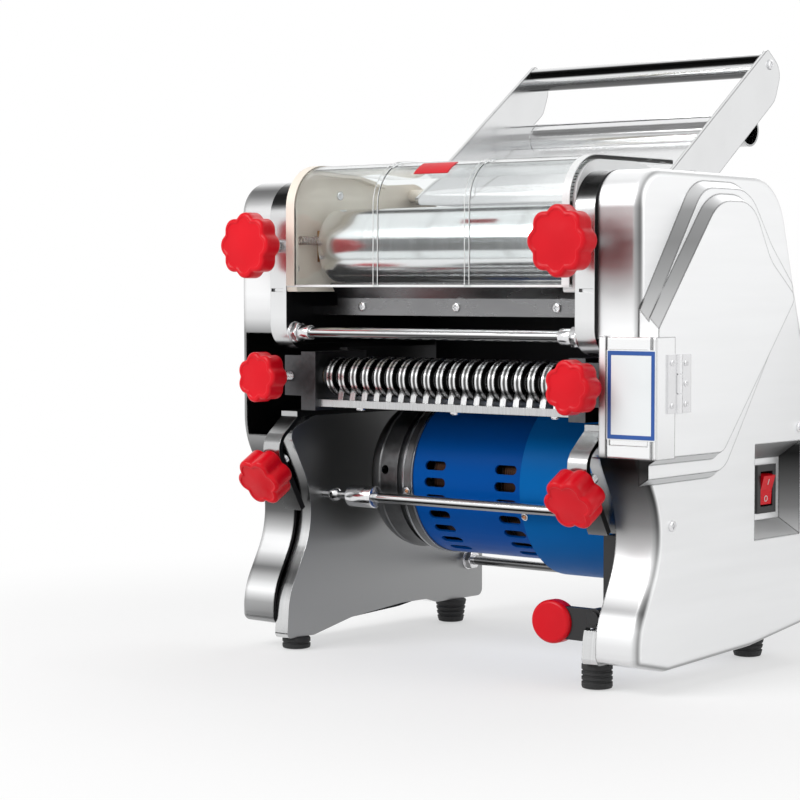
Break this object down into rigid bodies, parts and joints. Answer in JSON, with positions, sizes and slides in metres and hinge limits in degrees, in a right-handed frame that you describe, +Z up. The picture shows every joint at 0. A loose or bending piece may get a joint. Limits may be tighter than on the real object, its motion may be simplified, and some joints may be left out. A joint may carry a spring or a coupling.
{
  "type": "electric pasta maker",
  "caption": "Motor-driven tabletop pasta maker with dough rollers, intermeshing noodle cutters, polished stands, gear cover and lifting handle.",
  "frame": {"origin": "under the middle of the whole machine, on the surface its feet stand on", "axes": "+X towards the gearbox side, +Y towards the handle at the rear, +Z up"},
  "size_m": [0.3978, 0.341, 0.4663],
  "materials": {
    "polished_steel": "polished",
    "cover_steel": "satin polished",
    "cast_frame": "polished",
    "ground_steel": "ground",
    "zinc_steel": "zinc plated",
    "gear_steel": "machined",
    "bronze": "sintered",
    "red_plastic": "gloss",
    "black_plastic": "matte",
    "cream_plastic": "satin",
    "white_plastic": "satin",
    "clear_plastic": "clear",
    "blue_paint": "gloss",
    "black_paint": "satin",
    "cast_aluminium": "as cast",
    "lamination_steel": "plain",
    "rubber": "matte"
  },
  "bodies": {
    "chassis": {"left_side_frame": "cast_frame", "right_side_frame": "cast_frame", "left_stand_panel": "polished_steel", "right_stand_panel": "polished_steel", "left_cover": "cover_steel", "gearbox_cover": "cover_steel", "rubber_feet": "rubber", "left_end_cap": "cream_plastic", "right_end_cap": "white_plastic", "roller_guard": "clear_plastic", "feed_chute": "cover_steel", "guide_bar": "polished_steel", "handle_arms": "cover_steel", "handle_grip": "polished_steel", "machine_screws": "zinc_steel", "tie_rods": "polished_steel", "tie_rod_nuts": "zinc_steel", "front_scraper": "cover_steel", "rear_scraper": "cover_steel", "rear_panel": "cover_steel", "left_cutter_block": "gear_steel", "right_cutter_block": "gear_steel", "bronze_bushes": "bronze", "front_cutter_comb": "cover_steel", "rear_cutter_comb": "cover_steel", "motor_casing": "blue_paint", "drive_housing": "blue_paint", "motor_end_bell": "cast_aluminium", "motor_stator": "lamination_steel", "run_capacitor": "white_plastic", "idler_studs": "zinc_steel", "power_inlet": "black_plastic", "switch_frame": "black_plastic", "lever_bracket": "black_paint", "hinge_fixed_leaf": "zinc_steel", "hinge_pin": "zinc_steel"},
    "roller_carriage": {"bearing_blocks": "bronze"},
    "front_roller": {"front_dough_roller": "ground_steel", "front_roller_gear": "gear_steel"},
    "rear_roller": {"rear_dough_roller": "ground_steel", "rear_roller_gears": "gear_steel"},
    "front_cutter": {"front_cutter_roll": "ground_steel", "front_cutter_gear": "gear_steel"},
    "rear_cutter": {"rear_cutter_roll": "ground_steel", "rear_cutter_gears": "gear_steel"},
    "upper_idler": {"upper_idler_gear": "gear_steel"},
    "lower_idler": {"lower_idler_gear": "gear_steel"},
    "cutter_idler": {"cutter_idler_gear": "gear_steel"},
    "motor_armature": {"motor_rotor": "lamination_steel"},
    "left_thickness_adjuster": {"left_thickness_knob": "red_plastic"},
    "right_thickness_adjuster": {"right_thickness_knob": "red_plastic"},
    "left_cutter_clamp": {"left_cutter_knob": "red_plastic"},
    "right_cutter_clamp": {"right_cutter_knob": "red_plastic"},
    "left_stand_clamp": {"left_clamp_knob": "red_plastic"},
    "right_stand_clamp": {"right_clamp_knob": "red_plastic"},
    "power_rocker": {"switch_rocker": "red_plastic"},
    "clutch": {"clutch_lever": "black_paint", "lever_cap": "red_plastic"},
    "flap": {"cutter_flap": "cover_steel", "hinge_moving_leaf": "zinc_steel"}
  },
  "joints": [
    {"name": "roller_gap", "type": "slide", "parent": "chassis", "child": "roller_carriage", "axis": [0, -1, 0], "range_m": [0, 0.0032]},
    {"name": "rear_roller_spin", "type": "hinge", "parent": "chassis", "child": "rear_roller", "pos_m": [-0.0101, -0.02786, 0.312], "axis": [1, 0, 0], "continuous": true},
    {"name": "front_roller_spin", "type": "hinge", "parent": "roller_carriage", "child": "front_roller", "pos_m": [-0.0101, -0.08546, 0.312], "axis": [1, 0, 0], "continuous": true},
    {"name": "upper_idler_spin", "type": "hinge", "parent": "chassis", "child": "upper_idler", "pos_m": [-0.0101, 0.02307, 0.25695], "axis": [1, 0, 0], "continuous": true},
    {"name": "lower_idler_spin", "type": "hinge", "parent": "chassis", "child": "lower_idler", "pos_m": [-0.0101, 0.01958, 0.18203], "axis": [1, 0, 0], "continuous": true},
    {"name": "cutter_idler_spin", "type": "hinge", "parent": "chassis", "child": "cutter_idler", "pos_m": [-0.0101, -0.04286, 0.18474], "axis": [1, 0, 0], "continuous": true},
    {"name": "rear_cutter_spin", "type": "hinge", "parent": "chassis", "child": "rear_cutter", "pos_m": [-0.0101, -0.07546, 0.212], "axis": [1, 0, 0], "continuous": true},
    {"name": "front_cutter_spin", "type": "hinge", "parent": "chassis", "child": "front_cutter", "pos_m": [-0.0101, -0.10046, 0.212], "axis": [1, 0, 0], "continuous": true},
    {"name": "motor_spin", "type": "hinge", "parent": "chassis", "child": "motor_armature", "pos_m": [-0.0101, -0.01046, 0.133], "axis": [1, 0, 0], "continuous": true},
    {"name": "left_thickness_turn", "type": "hinge", "parent": "chassis", "child": "left_thickness_adjuster", "pos_m": [-0.1556, -0.14546, 0.312], "axis": [0, -1, 0], "range_deg": [0, 180]},
    {"name": "left_cutter_clamp_turn", "type": "hinge", "parent": "chassis", "child": "left_cutter_clamp", "pos_m": [-0.1556, -0.13746, 0.212], "axis": [0, -1, 0], "range_deg": [0, 720]},
    {"name": "left_stand_clamp_turn", "type": "hinge", "parent": "chassis", "child": "left_stand_clamp", "pos_m": [-0.1556, -0.139, 0.1403], "axis": [0, -0.866, -0.5], "range_deg": [0, 720]},
    {"name": "right_thickness_turn", "type": "hinge", "parent": "chassis", "child": "right_thickness_adjuster", "pos_m": [0.1354, -0.14546, 0.312], "axis": [0, -1, 0], "range_deg": [0, 180]},
    {"name": "right_cutter_clamp_turn", "type": "hinge", "parent": "chassis", "child": "right_cutter_clamp", "pos_m": [0.1354, -0.13746, 0.212], "axis": [0, -1, 0], "range_deg": [0, 720]},
    {"name": "right_stand_clamp_turn", "type": "hinge", "parent": "chassis", "child": "right_stand_clamp", "pos_m": [0.1354, -0.139, 0.1403], "axis": [0, -0.866, -0.5], "range_deg": [0, 720]},
    {"name": "rocker_tilt", "type": "hinge", "parent": "chassis", "child": "power_rocker", "pos_m": [0.1619, 0.05354, 0.131], "axis": [0, -1, 0], "range_deg": [0, 20]},
    {"name": "clutch_swing", "type": "hinge", "parent": "chassis", "child": "clutch", "pos_m": [0.1339, -0.11746, 0.05], "axis": [0, 1, 0], "range_deg": [0, 40]},
    {"name": "flap_swing", "type": "hinge", "parent": "chassis", "child": "flap", "pos_m": [0.1961, -0.11096, 0.215], "axis": [0, 0, 1], "range_deg": [0, 100]}
  ],
  "couplings": [
    {"joint": "front_roller_spin", "follows": "rear_roller_spin", "ratio": -1},
    {"joint": "upper_idler_spin", "follows": "rear_roller_spin", "ratio": -1.1429},
    {"joint": "lower_idler_spin", "follows": "rear_roller_spin", "ratio": 1},
    {"joint": "motor_spin", "follows": "rear_roller_spin", "ratio": -2.2857},
    {"joint": "cutter_idler_spin", "follows": "rear_roller_spin", "ratio": -1.7778},
    {"joint": "rear_cutter_spin", "follows": "rear_roller_spin", "ratio": 2},
    {"joint": "front_cutter_spin", "follows": "rear_roller_spin", "ratio": -2},
    {"joint": "left_thickness_turn", "follows": "roller_gap", "rad_per_m": 981.75},
    {"joint": "right_thickness_turn", "follows": "roller_gap", "rad_per_m": 981.75}
  ]
}
